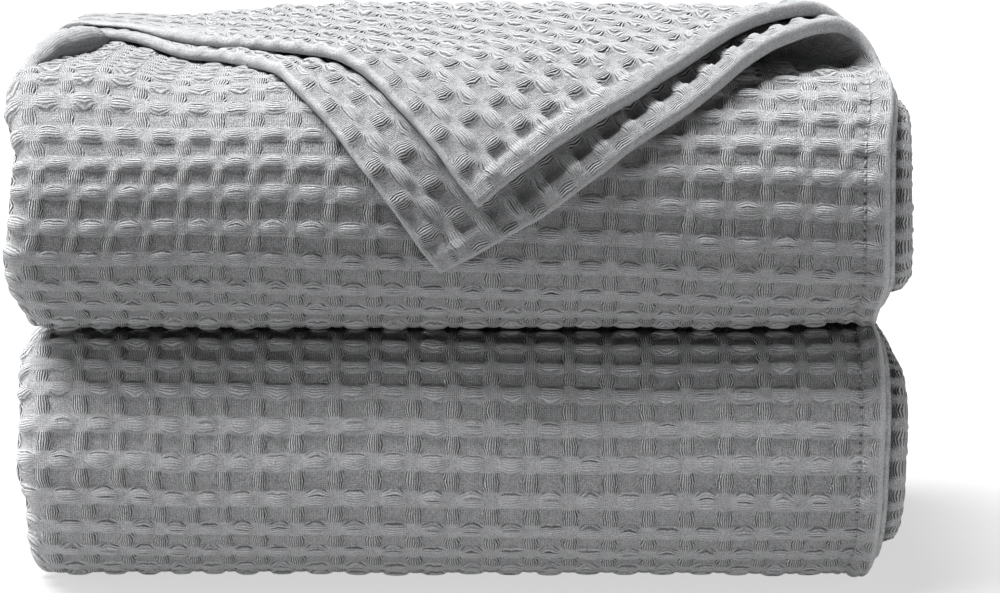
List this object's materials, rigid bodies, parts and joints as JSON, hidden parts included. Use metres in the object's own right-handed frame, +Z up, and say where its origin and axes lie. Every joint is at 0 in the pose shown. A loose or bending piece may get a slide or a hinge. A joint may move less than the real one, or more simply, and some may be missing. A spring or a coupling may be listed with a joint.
{
  "type": "folded waffle weave cotton blanket",
  "caption": "Waffle weave cotton blanket, folded into a soft layered stack with its hemmed corner turned over the front.",
  "frame": {"origin": "bottom centre of the folded blanket, on the surface it rests on", "axes": "+X along the folds to the side with the hems, -Y to the front with the turned corner, +Z up"},
  "size_m": [0.3308, 0.232, 0.2118],
  "materials": {
    "grey_cotton": "matt grey waffle weave cotton"
  },
  "bodies": {
    "root": {"blanket": "grey_cotton"}
  },
  "joints": []
}
